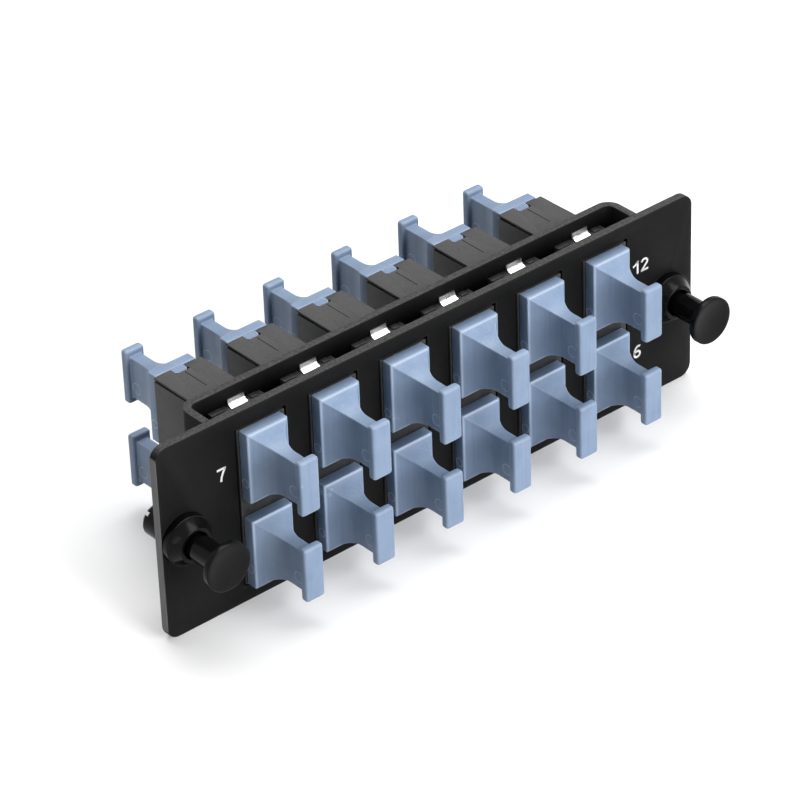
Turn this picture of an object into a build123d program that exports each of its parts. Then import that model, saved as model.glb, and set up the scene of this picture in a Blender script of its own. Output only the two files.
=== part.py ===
"""Twelve-port fibre adapter panel: a flat faceplate with a folded bracket behind it,
six two-port adapters held between them, a pull-off dust cap in both ends of every
port and a push-pull latch at each end of the plate.

Millimetres. X runs along the plate, Y from front to back, Z up. The origin is under
the middle of the panel, on the surface that its bottom edges stand on.
"""

from build123d import *
import os
from math import sqrt

# Faceplate: a flat steel sheet
plate_ear = 10.55
plate_height = 34.6
plate_sheet = 1.5
plate_corner_radius = 2.2

# Bracket: a sheet folded to a U, its web behind the plate and parallel to it
bracket_sheet = 1.4
bracket_depth = 7.95
bracket_margin = 4.475
bracket_shift = -0.4
bend_radius = 2.6

# Port grid
column_count = 6
row_count = 2
column_pitch = 14.15
row_pitch = 15.8

# Adapter housing: one moulding with two ports, one above the other
adapter_width = 9.2
adapter_length = 20.3
adapter_shift = 0.35
port_width = 7.2
port_height = 11.0
port_wall = 0.75
flange_thickness = 1.2
flange_side = 0.5
flange_rise = 0.22
flange_ear = 1.9
ear_inset = 0.7
key_width = 2.6
key_depth = 1.5
lid_line = 0.35
lid_recess = 0.16
pocket_depth = 0.5
pocket_length = 1.3

# Clearances between pieces that fit in or pass through each other
cutout_gap = 0.42
web_gap = 0.12
seat_gap = 0.05
slip_gap = 0.08

# Spring clip: a thin strap set in a groove round the right side of a housing, with a
# wing at each end that bends out against the web
clip_sheet = 0.25
clip_width = 3.2
clip_strap = 1.4
clip_start = 2.3
wing_ramp = 1.1
wing_rise = 0.35

# Latch insert: the cross wall in the middle of a port, with its hooks
insert_wall = 2.0
ferrule_width = 2.8
ferrule_height = 6.8
hook_length = 3.2
hook_width = 3.0
hook_thickness = 0.7
barb_height = 0.35

# Dust cap
cap_width = 7.9
cap_height = 12.5
cap_base = 2.05
cap_edge = 0.25
plug_length = 4.6
plug_wall = 0.9
tongue_lead = 0.6
neck_width = 2.2
neck_height = 7.4
neck_curve = 6.5
grip_back = 10.4
grip_thickness = 1.5
grip_width = 3.6
grip_height = 9.6
grip_edge = 0.35

# Push-pull latch: a grommet with split legs, and the plunger that slides in it
latch_left_inset = 4.4
latch_right_inset = 5.65
barrel_radius = 2.75
barrel_length = 5.9
barrel_tip = 0.7
barrel_tip_radius = 2.2
barrel_web = 0.5
barrel_groove = 0.2
groove_slack = 0.1
leg_slot = 0.7
leg_turn = 45.0
collar_radius = 4.3
collar_flange = 1.3
collar_step = 0.25
collar_top_radius = 3.0
collar_height = 3.0
knob_radius = 4.1
knob_reach = 10.7
knob_rim = 1.1
knob_flare = 1.5
knob_waist = 0.6
shaft_radius = 2.2
shaft_gap = 0.05
shaft_cone = 0.45
pin_radius = 1.75
pin_reach = 2.4
plunger_travel = 5.0

# How far a cutter runs past the material that it cuts
overcut = 1.0

# Sizes and places that follow
adapter_height = row_pitch + port_height + 2 * port_wall
bracket_width = (column_count - 1) * column_pitch + adapter_width + 2 * bracket_margin
plate_width = bracket_width + 2 * plate_ear
front = -adapter_length / 2
rear = adapter_length / 2
plate_back = front + plate_sheet
web_rear = front + bracket_depth
web_front = web_rear - bracket_sheet
mid_height = plate_height / 2
column_places = [(i - (column_count - 1) / 2) * column_pitch for i in range(column_count)]
row_places = [mid_height + (0.5 - i) * row_pitch for i in range(row_count)]
strap_front = front + clip_start
plug_width = port_width - 2 * slip_gap
plug_height = port_height - 2 * slip_gap
groove_radius = barrel_radius - barrel_groove
shaft_bore = shaft_radius + shaft_gap
pin_bore = pin_radius + shaft_gap
shaft_end = plate_sheet - barrel_web - plunger_travel - 2 * shaft_gap


def block(x, y, z):
    """A box from three (low, high) pairs."""
    size = [high - low for low, high in (x, y, z)]
    middle = [(high + low) / 2 for low, high in (x, y, z)]
    return Pos(*middle) * Box(*size)


def centred(width, middle=0.0):
    """The (low, high) pair of a width about a middle."""
    return (middle - width / 2, middle + width / 2)


def adapter_middle(column):
    """Middle of a housing, which stands a little right of its ports."""
    return column_places[column] + adapter_shift


def faceplate():
    """Flat sheet with one window per adapter and a hole for each latch."""
    outline = RectangleRounded(plate_width, plate_height, plate_corner_radius)
    sheet = Pos(0, plate_back, mid_height) * Rot(90, 0, 0) * extrude(outline, plate_sheet)
    for column in range(column_count):
        window_x = centred(adapter_width + 2 * cutout_gap, adapter_middle(column))
        window_z = centred(adapter_height + 2 * cutout_gap, mid_height)
        sheet -= block(window_x, (front - overcut, plate_back + overcut), window_z)
    for x in (latch_x(-1), latch_x(1)):
        hole = Cylinder(groove_radius + seat_gap, 2 * (plate_sheet + overcut), rotation=(90, 0, 0))
        sheet -= Pos(x, front, mid_height) * hole
    return sheet


def bracket():
    """Sheet folded twice: a web with a window per adapter, and two short legs."""
    left = bracket_shift - bracket_width / 2
    right = bracket_shift + bracket_width / 2
    inner = bend_radius - bracket_sheet
    fold = make_face(
        FilletPolyline(
            (left, plate_back),
            (left, web_rear),
            (right, web_rear),
            (right, plate_back),
            radius=bend_radius,
        )
        + Line((right, plate_back), (right - bracket_sheet, plate_back))
        + FilletPolyline(
            (right - bracket_sheet, plate_back),
            (right - bracket_sheet, web_front),
            (left + bracket_sheet, web_front),
            (left + bracket_sheet, plate_back),
            radius=inner,
        )
        + Line((left + bracket_sheet, plate_back), (left, plate_back))
    )
    sheet = extrude(fold, plate_height)
    for column in range(column_count):
        window_x = centred(adapter_width + 2 * web_gap, adapter_middle(column))
        window_z = centred(adapter_height + 2 * web_gap, mid_height)
        sheet -= block(window_x, (web_front - overcut, web_rear + overcut), window_z)
    return sheet


def adapter(column):
    """Housing with two ports, a broken flange in front of the web and a lid line."""
    x = adapter_middle(column)
    half = adapter_width / 2
    top = mid_height + adapter_height / 2
    body = block(centred(adapter_width, x), (front, rear), centred(adapter_height, mid_height))
    flange_y = (web_front - flange_thickness, web_front)
    body += block(centred(adapter_width + 2 * flange_side, x), flange_y, centred(adapter_height, mid_height))
    ears_z = centred(adapter_height + 2 * flange_rise, mid_height)
    body += block((x - half - flange_side, x - half + flange_ear), flange_y, ears_z)
    body += block((x + half - flange_ear, x + half - ear_inset), flange_y, ears_z)
    for z in row_places:
        port_x = centred(port_width, column_places[column])
        body -= block(port_x, (front - overcut, rear + overcut), centred(port_height, z))
        key_top = z + cap_height / 2
        rear_key_z = (z + plug_height / 2, key_top)
        front_key_z = (z + plug_height / 2, key_top - lid_recess)
        rear_key = centred(key_width, column_places[column] + adapter_shift)
        front_key = centred(key_width, column_places[column] - adapter_shift)
        body -= block(rear_key, (rear - key_depth, rear + overcut), rear_key_z)
        body -= block(front_key, (front - overcut, front + key_depth), front_key_z)
    lid_y = (web_rear + pocket_length, rear + overcut)
    line_z = (top - 2 * lid_line, top - lid_line)
    body -= block((x - half - overcut, x - half + lid_line), lid_y, line_z)
    body -= block((x + key_width / 2, x + half + overcut), lid_y, (top - lid_recess, top + overcut))
    pocket_x = (x - half + 2 * lid_line, x + half + overcut)
    ramp = Plane.YZ * make_face(
        Polyline(
            (web_rear, top - pocket_depth),
            (web_rear + pocket_length, top),
            (web_rear, top),
            close=True,
        )
    )
    body -= Pos(pocket_x[0], 0, 0) * extrude(ramp, pocket_x[1] - pocket_x[0])
    groove = clip_sheet + seat_gap
    groove_y = (strap_front - seat_gap, strap_front + clip_strap + seat_gap)
    groove_x = (x + half - groove, x + half + overcut)
    body -= block(groove_x, groove_y, centred(adapter_height + 2 * overcut, mid_height))
    for end in (-1, 1):
        groove_z = centred(2 * groove, mid_height + end * adapter_height / 2)
        body -= block((wing_left(column) - seat_gap, x + half + overcut), groove_y, groove_z)
        wing_x = (wing_left(column) - seat_gap, wing_left(column) + clip_width + seat_gap)
        body -= block(wing_x, (groove_y[0], web_front), groove_z)
    return body


def insert(column, row):
    """Cross wall with the ferrule window, and two hooks towards each mouth."""
    x = column_places[column]
    z = row_places[row]
    tall = port_height - 2 * seat_gap
    wall = block(centred(port_width - 2 * seat_gap, x), centred(insert_wall), centred(tall, z))
    through = centred(insert_wall + 2 * overcut)
    wall -= block(centred(ferrule_width, x), through, centred(ferrule_height, z))
    reach = insert_wall / 2 + hook_length
    for end in (-1, 1):
        outer = z + end * tall / 2
        inner = outer - end * hook_thickness
        barb = inner - end * barb_height
        arm_z = (min(outer, inner), max(outer, inner))
        barb_z = (min(inner, barb), max(inner, barb))
        wall += block(centred(hook_width, x), (-reach, reach), arm_z)
        for side in (-1, 1):
            tip = side * (reach - barb_height)
            wall += block(centred(hook_width, x), centred(2 * barb_height, tip), barb_z)
    return wall


def wing_left(column):
    """Left edge of a clip's wings."""
    return adapter_middle(column) + adapter_shift - clip_width / 2


def clip(column):
    """Spring steel strap: top wing, right side and bottom wing in one strip."""
    left = wing_left(column)
    right = adapter_middle(column) + adapter_width / 2
    half_h = adapter_height / 2
    strap_y = (strap_front, strap_front + clip_strap)
    strap = block((right - clip_sheet, right), strap_y, centred(2 * half_h, mid_height))
    tip = web_front - seat_gap
    ramp = tip - wing_ramp
    wing = make_face(
        Polyline(
            (strap_front, -clip_sheet),
            (strap_front, 0),
            (ramp, 0),
            (tip, wing_rise),
            (tip, wing_rise - clip_sheet),
            (ramp, -clip_sheet),
            close=True,
        )
    )
    wing = Pos(left + clip_width / 2, 0, 0) * extrude(Plane.YZ * wing, clip_width / 2, both=True)
    for end in (-1, 1):
        turned_wing = wing if end > 0 else mirror(wing, Plane.XY)
        strap += Pos(0, 0, mid_height + end * half_h) * turned_wing
        band = (mid_height + end * half_h, mid_height + end * (half_h - clip_sheet))
        strap += block((left, right), strap_y, (min(band), max(band)))
    return strap


def flared_outline(root, waist):
    """Outline of the cap's neck: half width root at the base, curving in to waist."""
    reach = sqrt(neck_curve**2 - (neck_curve - root + waist) ** 2)
    half_turn = sqrt(neck_curve**2 - reach**2 / 4)
    corner = (root, -cap_base)
    turn = (waist, -cap_base - reach)
    bulge = (waist + neck_curve - half_turn, -cap_base - reach / 2)
    tip = -grip_back - grip_edge
    outline = (
        Polyline((0, -cap_base / 2), (root, -cap_base / 2), corner)
        + ThreePointArc(corner, bulge, turn)
        + Polyline(turn, (waist, tip), (0, tip), (0, -cap_base / 2))
    )
    half = make_face(outline)
    return half + mirror(half, Plane.YZ)


def cap():
    """Dust cap for a front port, its base on Y 0 and its grip towards -Y."""
    base = block(centred(cap_width), (-cap_base, -seat_gap), centred(cap_height))
    base = chamfer(base.edges().filter_by(Axis.Y) + base.edges().group_by(Axis.Y)[0], cap_edge)
    plan = flared_outline(cap_width / 2 - cap_edge, neck_width / 2)
    side = flared_outline(cap_height / 2 - cap_edge, neck_height / 2)
    neck = extrude(Plane.XY * plan, cap_height / 2, both=True)
    neck &= extrude(Plane.ZY * side, cap_width / 2, both=True)
    grip = block(
        centred(grip_width), (-grip_back - grip_thickness, -grip_back), centred(grip_height)
    )
    grip = chamfer(grip.edges().filter_by(Axis.Y) + grip.edges().group_by(Axis.Y)[0], grip_edge)
    plug = block(centred(plug_width), (-cap_base / 2, plug_length), centred(plug_height))
    hollow_x = centred(plug_width - 2 * plug_wall)
    hollow_z = centred(plug_height - 2 * plug_wall)
    plug -= block(hollow_x, (cap_base / 2, plug_length + overcut), hollow_z)
    tongue_z = ((plug_height - plug_wall) / 2, cap_height / 2 - slip_gap - lid_recess)
    tongue_x = centred(key_width - 2 * slip_gap, -adapter_shift)
    tongue = block(tongue_x, (-cap_base / 2, key_depth - slip_gap), tongue_z)
    nose = tongue.edges().filter_by(Axis.Z).group_by(Axis.Y)[-1]
    tongue = chamfer(nose, tongue_lead)
    return base + neck + grip + plug + tongue


def front_cap(column, row, pattern):
    """The cap in the front end of a port."""
    return Pos(column_places[column], front, row_places[row]) * pattern


def rear_cap(column, row, pattern):
    """The cap in the rear end of a port, turned about."""
    return Pos(column_places[column], rear, row_places[row]) * Rot(0, 0, 180) * pattern


def latch_x(end):
    """Where a latch stands: end is -1 on the left and 1 on the right."""
    if end < 0:
        return -plate_width / 2 + latch_left_inset
    return plate_width / 2 - latch_right_inset


def turned(points):
    """Solid of revolution about the latch's axis, from (radius, distance behind the plate's front)."""
    outline = make_face(Polyline(*points, close=True))
    solid = revolve(Plane.XY * outline, Axis.Y)
    return Pos(0, front, mid_height) * solid


def grommet(end):
    """Collar against the plate's front, a groove that the plate snaps into, and four legs."""
    tip = plate_sheet + barrel_length
    body = turned(
        [
            (shaft_bore, -collar_height),
            (collar_top_radius, -collar_height),
            (collar_radius - collar_step, -collar_flange),
            (collar_radius, -collar_flange),
            (collar_radius, 0),
            (groove_radius, 0),
            (groove_radius, plate_sheet + groove_slack),
            (barrel_radius, plate_sheet + groove_slack),
            (barrel_radius, tip - barrel_tip),
            (barrel_tip_radius, tip),
            (pin_bore, tip),
            (pin_bore, plate_sheet),
            (shaft_bore, plate_sheet - barrel_web),
        ]
    )
    slot_y = (plate_back, front + tip + overcut)
    across = centred(2 * (barrel_radius + overcut))
    for turn in (leg_turn, leg_turn + 90):
        slot = block(centred(leg_slot), slot_y, across)
        body -= Pos(0, 0, mid_height) * Rot(0, turn, 0) * slot
    return Pos(latch_x(end), 0, 0) * body


def plunger(end):
    """Pin, shaft and flared thumb disc in one turned shape, drawn out to release."""
    disc_back = knob_rim - knob_reach
    body = turned(
        [
            (0, pin_reach),
            (pin_radius, pin_reach),
            (pin_radius, shaft_end + shaft_cone),
            (shaft_radius, shaft_end),
            (shaft_radius, disc_back + knob_flare),
            (shaft_radius + knob_waist, disc_back + knob_waist),
            (knob_radius, disc_back),
            (knob_radius, -knob_reach),
            (0, -knob_reach),
        ]
    )
    return Pos(latch_x(end), 0, 0) * body


def all_nodes():
    """Every piece by the name of its node."""
    nodes = {"faceplate": faceplate(), "rear_bracket": bracket()}
    pattern = cap()
    for column in range(column_count):
        nodes[f"adapter_{column + 1}"] = adapter(column)
        nodes[f"adapter_clip_{column + 1}"] = clip(column)
        for row in range(row_count):
            port = column + 1 + (row_count - 1 - row) * column_count
            nodes[f"port_insert_{port}"] = insert(column, row)
            nodes[f"front_cap_{port}"] = front_cap(column, row, pattern)
            nodes[f"rear_cap_{port}"] = rear_cap(column, row, pattern)
    for end, side in ((-1, "left"), (1, "right")):
        nodes[f"{side}_latch_grommet"] = grommet(end)
        nodes[f"{side}_latch_plunger"] = plunger(end)
    return nodes


os.makedirs("parts", exist_ok=True)
for name, solid in all_nodes().items():
    solid.label = name
    export_step(solid, f"parts/{name}.step")
    print(name, round(solid.volume, 1))
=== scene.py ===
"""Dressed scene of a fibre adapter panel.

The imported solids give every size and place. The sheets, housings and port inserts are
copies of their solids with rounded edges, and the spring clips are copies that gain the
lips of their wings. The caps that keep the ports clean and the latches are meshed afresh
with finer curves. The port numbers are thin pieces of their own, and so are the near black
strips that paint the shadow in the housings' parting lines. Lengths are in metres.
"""

import logging
import math
from dataclasses import dataclass, field
from enum import Enum

import bmesh
import bpy
from mathutils import Matrix, Vector


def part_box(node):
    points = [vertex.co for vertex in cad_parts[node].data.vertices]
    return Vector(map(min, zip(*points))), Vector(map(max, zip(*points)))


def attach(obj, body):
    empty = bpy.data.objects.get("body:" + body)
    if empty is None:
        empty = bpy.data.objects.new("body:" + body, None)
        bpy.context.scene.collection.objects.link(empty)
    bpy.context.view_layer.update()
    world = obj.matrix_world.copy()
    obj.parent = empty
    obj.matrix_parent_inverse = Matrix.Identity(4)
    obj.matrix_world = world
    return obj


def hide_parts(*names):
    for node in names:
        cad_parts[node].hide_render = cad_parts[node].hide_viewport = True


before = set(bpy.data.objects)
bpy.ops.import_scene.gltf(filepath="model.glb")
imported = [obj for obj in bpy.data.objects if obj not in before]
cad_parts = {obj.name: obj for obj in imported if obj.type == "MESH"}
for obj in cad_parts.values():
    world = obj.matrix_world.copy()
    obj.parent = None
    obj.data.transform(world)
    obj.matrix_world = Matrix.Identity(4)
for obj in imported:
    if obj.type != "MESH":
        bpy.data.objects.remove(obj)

MM = 0.001
ROOT_BODY = "panel"
COLUMN_COUNT = 6
PORT_COUNT = 12
WHITE = (1.0, 1.0, 1.0, 1.0)
SMOOTH_LIMIT = math.radians(32)
SHARP_LIMIT = math.radians(40)
FLAT_LIMIT = math.radians(0.5)
WELD = 0.002 * MM

Socket = bpy.types.NodeSocket

log = logging.getLogger("panel")


class End(Enum):
    """Which end of a port a cap closes: the value turns the cap's mesh about Z."""

    FRONT = 0.0
    REAR = math.pi

    @property
    def word(self) -> str:
        """Name of this end as the nodes spell it."""
        return self.name.lower()


class Side(Enum):
    """Which end of the plate a latch stands at."""

    LEFT = "left"
    RIGHT = "right"


class Shader:
    """A node material in the making, with short calls for the nodes that the finishes share."""

    NOISE_RANGE = (0.3, 0.7)  # where most values of a noise lie
    EDGE_START = 0.995  # cosine of the tilt at which an edge begins
    EDGE_SAMPLES = 6
    CREVICE_SAMPLES = 8
    LEVEL_RANGE = (0.5, 0.95)  # upward part of the normal where the dusting and painted top light begin and are full
    DUST_AND_TOP_LIGHT_RANGE = (0.3, 1.0)
    RIM_RANGE = (0.14 * MM, 0.06 * MM)  # distances from a sheet's end
    FLECK_BLUR = 0.05

    def __init__(self, name: str) -> None:
        """Start an empty material with a principled shader.

        Args:
            name: Name of the material.
        """
        self.material = bpy.data.materials.new(name)
        self.material.use_nodes = True
        self.tree = self.material.node_tree
        self.tree.nodes.clear()
        self.output = self.node("OutputMaterial")
        self.surface = self.node("BsdfPrincipled")
        self.join(self.surface.outputs["BSDF"], self.output.inputs["Surface"])
        self.place = self.node("TexCoord").outputs["Object"]

    def node(self, kind: str, **constants: object) -> bpy.types.Node:
        """Add a node.

        Args:
            kind: What follows ShaderNode in the name of the node's type.
            constants: Input names, with underscores for spaces, and their values.

        Returns:
            The new node.
        """
        node = self.tree.nodes.new(f"ShaderNode{kind}")
        for key, value in constants.items():
            node.inputs[key.replace("_", " ")].default_value = value
        return node

    def join(self, source: Socket, target: Socket) -> None:
        """Link an output to an input."""
        self.tree.links.new(source, target)

    def set(self, **values: object) -> None:
        """Set constants on the principled shader, with underscores for spaces."""
        for key, value in values.items():
            self.surface.inputs[key.replace("_", " ")].default_value = value

    def paint(self, colour: Socket) -> None:
        """Drive the base colour."""
        self.join(colour, self.surface.inputs["Base Color"])

    def gloss(self, scale: float, low: float, high: float) -> None:
        """Vary the roughness from low to high with a noise of a scale."""
        self.join(self.span(self.noise(scale), low, high), self.surface.inputs["Roughness"])

    def noise(self, scale: float, detail: float = 2.0, stretch: tuple | None = None) -> Socket:
        """Noise in object space.

        Args:
            scale: Waves per metre.
            detail: Octaves of the noise.
            stretch: Factors on the three axes, or None for even noise.

        Returns:
            The noise's output socket.
        """
        texture = self.node("TexNoise", Scale=scale, Detail=detail)
        place = self.place
        if stretch is not None:
            mapping = self.node("Mapping", Scale=stretch)
            self.join(place, mapping.inputs["Vector"])
            place = mapping.outputs["Vector"]
        self.join(place, texture.inputs["Vector"])
        return texture.outputs["Fac"]

    def ramp(self, source: Socket, low: tuple, high: tuple, start: float, end: float) -> Socket:
        """Colour that runs from low to high as the source goes from start to end.

        Args:
            source: Socket that drives the ramp.
            low: Linear colour at the start.
            high: Linear colour at the end.
            start: Source value of the low colour.
            end: Source value of the high colour.

        Returns:
            The ramp's colour socket.
        """
        ramp = self.node("ValToRGB")
        for stop, place, colour in zip(ramp.color_ramp.elements, (start, end), (low, high)):
            stop.position = place
            stop.color = (*colour, 1.0)
        self.join(source, ramp.inputs["Fac"])
        return ramp.outputs["Color"]

    def mapped(
        self, source: Socket, start: float, end: float, low: float = 0.0, high: float = 1.0
    ) -> Socket:
        """Map the source's run from start to end onto low to high.

        Args:
            source: Socket that is mapped.
            start: Source value that gives low.
            end: Source value that gives high.
            low: Result up to the start.
            high: Result from the end on.

        Returns:
            The result's socket.
        """
        node = self.node("MapRange", From_Min=start, From_Max=end, To_Min=low, To_Max=high)
        self.join(source, node.inputs["Value"])
        return node.outputs["Result"]

    def span(self, source: Socket, low: float, high: float) -> Socket:
        """Map a noise onto a range of values."""
        return self.mapped(source, *self.NOISE_RANGE, low, high)

    def maths(self, operation: str, first: object, second: object = 0.0) -> Socket:
        """Work out a sum in the tree.

        Args:
            operation: Blender's word for the sum.
            first: First number or socket.
            second: Second number or socket, where the sum has one.

        Returns:
            The result's socket.
        """
        node = self.node("Math")
        node.operation = operation
        for place, value in zip(node.inputs, (first, second)):
            if isinstance(value, float):
                place.default_value = value
            else:
                self.join(value, place)
        return node.outputs[0]

    def bump(self, source: Socket, depth: float) -> None:
        """Raise the surface by a height map, on top of any earlier bump.

        Args:
            source: Height socket.
            depth: Height of a full step, in metres.
        """
        node = self.node("Bump", Distance=depth, Strength=1.0)
        self.join(source, node.inputs["Height"])
        normal = self.surface.inputs["Normal"]
        if normal.is_linked:
            self.join(normal.links[0].from_socket, node.inputs["Normal"])
        self.join(node.outputs["Normal"], normal)

    def edges(self, reach: float, full: float) -> Socket:
        """Mask of the places within reach of an edge, where the finishes paint a highlight.

        Args:
            reach: How far from an edge the mask starts, in metres.
            full: Tilt of the rounded normal at which the mask is 1.

        Returns:
            A socket that is 0 on flat stretches and 1 on edges.
        """
        rounded = self.node("Bevel", Radius=reach)
        rounded.samples = self.EDGE_SAMPLES
        plain = self.node("NewGeometry")
        compare = self.node("VectorMath")
        compare.operation = "DOT_PRODUCT"
        self.join(rounded.outputs["Normal"], compare.inputs[0])
        self.join(plain.outputs["True Normal"], compare.inputs[1])
        return self.mapped(compare.outputs["Value"], self.EDGE_START, 1.0 - full)

    def tinted(self, colour: Socket, edge: tuple, mask: Socket, share: float) -> Socket:
        """Colour that is mixed towards another where a mask says so.

        Args:
            colour: Socket of the plain colour.
            edge: Linear colour of the other places: wear, dusting and flecks, and also painted
                highlights, painted top light and painted shade.
            mask: Socket that is 1 on those places.
            share: Part of the other colour where the mask is 1.

        Returns:
            The mixed colour's socket.
        """
        mix = self.node("Mix")
        mix.data_type = "RGBA"
        mix.inputs["B"].default_value = (*edge, 1.0)
        self.join(self.maths("MULTIPLY", mask, share), mix.inputs["Factor"])
        self.join(colour, mix.inputs["A"])
        return mix.outputs["Result"]

    def top_light_and_dusting(self, scale: float) -> Socket:
        """Mask of up-facing faces, for a dusting and painted top light, broken up by a fine noise.

        Args:
            scale: Waves of the noise per metre.

        Returns:
            A socket that is 0 on upright faces and about 1 on level ones.
        """
        parts = self.node("SeparateXYZ")
        self.join(self.node("NewGeometry").outputs["Normal"], parts.inputs[0])
        level = self.mapped(parts.outputs["Z"], *self.LEVEL_RANGE)
        return self.maths("MULTIPLY", level, self.span(self.noise(scale, 4.0), *self.DUST_AND_TOP_LIGHT_RANGE))

    def rims(self, half: float) -> Socket:
        """Mask of the two ends of a sheet, where a highlight is painted.

        Args:
            half: How far the sheet reaches to each side of X 0.

        Returns:
            A socket that is 1 on the ends and 0 between them.
        """
        parts = self.node("SeparateXYZ")
        self.join(self.place, parts.inputs[0])
        start, end = self.RIM_RANGE
        return self.mapped(self.maths("ABSOLUTE", parts.outputs["X"]), half - start, half - end)

    def crevice_shade_mask(self, reach: float) -> Socket:
        """Mask of painted shade: the places that other surfaces crowd, where shade falls.

        Args:
            reach: How far off a surface still counts, in metres.

        Returns:
            A socket that is 0 in the open and nears 1 in a crevice.
        """
        open_sky = self.node("AmbientOcclusion", Distance=reach)
        open_sky.samples = self.CREVICE_SAMPLES
        return self.maths("SUBTRACT", 1.0, open_sky.outputs["AO"])

    def flecks(self, scale: float, rare: float) -> Socket:
        """Mask of scattered small marks.

        Args:
            scale: Waves of the noise per metre.
            rare: Noise value at which a mark begins, so that fewer show as it nears 1.

        Returns:
            A socket that is 1 on the marks.
        """
        return self.mapped(self.noise(scale, 6.0), rare, rare + self.FLECK_BLUR)


@dataclass(frozen=True)
class PowderCoat:
    """Black powder coat: a fine orange peel that breaks up its soft sheen."""

    colour: tuple = (0.0048, 0.0048, 0.0049)
    tinted: tuple = (0.0074, 0.0074, 0.0075)
    worn_range: tuple = (0.35, 0.7)
    # Painted highlight: the light edge colour stands in for light glinting on the rounded edges.
    edge: tuple = (0.060, 0.060, 0.060)
    edge_reach: float = 0.16 * MM
    edge_tilt: float = 0.08
    edge_share: float = 0.6
    # Dusting mixed with painted top light: lightens the faces that look up.
    dust_and_top_light: tuple = (0.085, 0.085, 0.084)
    dust_and_top_light_scale: float = 2200.0
    dust_and_top_light_share: float = 0.8
    # Painted highlight: the rim colour lightens the sheet's two ends as if light caught them.
    rim: tuple = (0.19, 0.19, 0.19)
    rim_share: float = 0.8
    sheen: float = 0.06
    roughness: tuple = (0.46, 0.56)
    peel_scale: float = 2600.0
    peel_depth: float = 0.010 * MM

    def material(self) -> bpy.types.Material:
        """Build the coat's material.

        Returns:
            The finished material.
        """
        shader = Shader("powder_coat")
        shader.set(Specular_IOR_Level=self.sheen)
        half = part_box("faceplate")[1].x
        coat = shader.ramp(shader.noise(90.0, 3.0), self.colour, self.tinted, *self.worn_range)
        # Painted top light, mixed with a dusting, on the faces that look up.
        coat = shader.tinted(coat, self.dust_and_top_light, shader.top_light_and_dusting(self.dust_and_top_light_scale), self.dust_and_top_light_share)
        # Painted highlight on the plate's two ends.
        coat = shader.tinted(coat, self.rim, shader.rims(half), self.rim_share)
        # Painted highlight along the edges.
        edges = shader.edges(self.edge_reach, self.edge_tilt)
        shader.paint(shader.tinted(coat, self.edge, edges, self.edge_share))
        shader.gloss(700.0, *self.roughness)
        shader.bump(shader.noise(self.peel_scale), self.peel_depth)
        return shader.material


@dataclass(frozen=True)
class HousingPlastic:
    """Charcoal moulded plastic with an eroded, matte grain."""

    name: str = "housing_plastic"
    colour: tuple = (0.012, 0.012, 0.012)
    light: tuple = (0.040, 0.040, 0.040)
    light_range: tuple = (0.25, 0.75)
    # Painted highlight: the light edge colour stands in for light glinting on the rounded edges.
    edge: tuple = (0.10, 0.10, 0.10)
    edge_reach: float = 0.14 * MM
    edge_tilt: float = 0.08
    edge_share: float = 0.45
    # Dusting mixed with painted top light: lightens the faces that look up.
    dust_and_top_light: tuple = (0.115, 0.115, 0.112)
    dust_and_top_light_scale: float = 2600.0
    dust_and_top_light_share: float = 0.3
    # Painted shade: near black laid where other surfaces crowd, such as the flange in the window
    # gap.
    shade: tuple = (0.001, 0.001, 0.001)
    shade_reach: float = 3.0 * MM
    shade_share: float = 1.0
    sheen: float = 0.25
    roughness: tuple = (0.5, 0.64)
    fine_scale: float = 1500.0
    grain_scale: float = 3600.0
    grain_depth: float = 0.030 * MM

    def material(self) -> bpy.types.Material:
        """Build the plastic's material.

        Returns:
            The finished material.
        """
        shader = Shader(self.name)
        shader.set(Specular_IOR_Level=self.sheen)
        fine = shader.noise(self.fine_scale, 6.0)
        grain = shader.ramp(fine, self.colour, self.light, *self.light_range)
        # Painted top light, mixed with a dusting, on the faces that look up.
        grain = shader.tinted(grain, self.dust_and_top_light, shader.top_light_and_dusting(self.dust_and_top_light_scale), self.dust_and_top_light_share)
        # Painted shade where surfaces crowd, in gaps and corners.
        painted_shade = shader.crevice_shade_mask(self.shade_reach)
        grain = shader.tinted(grain, self.shade, painted_shade, self.shade_share)
        # Painted highlight along the edges.
        edges = shader.edges(self.edge_reach, self.edge_tilt)
        shader.paint(shader.tinted(grain, self.edge, edges, self.edge_share))
        shader.gloss(self.fine_scale, *self.roughness)
        shader.bump(shader.noise(self.grain_scale, 3.0), self.grain_depth)
        return shader.material


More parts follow.
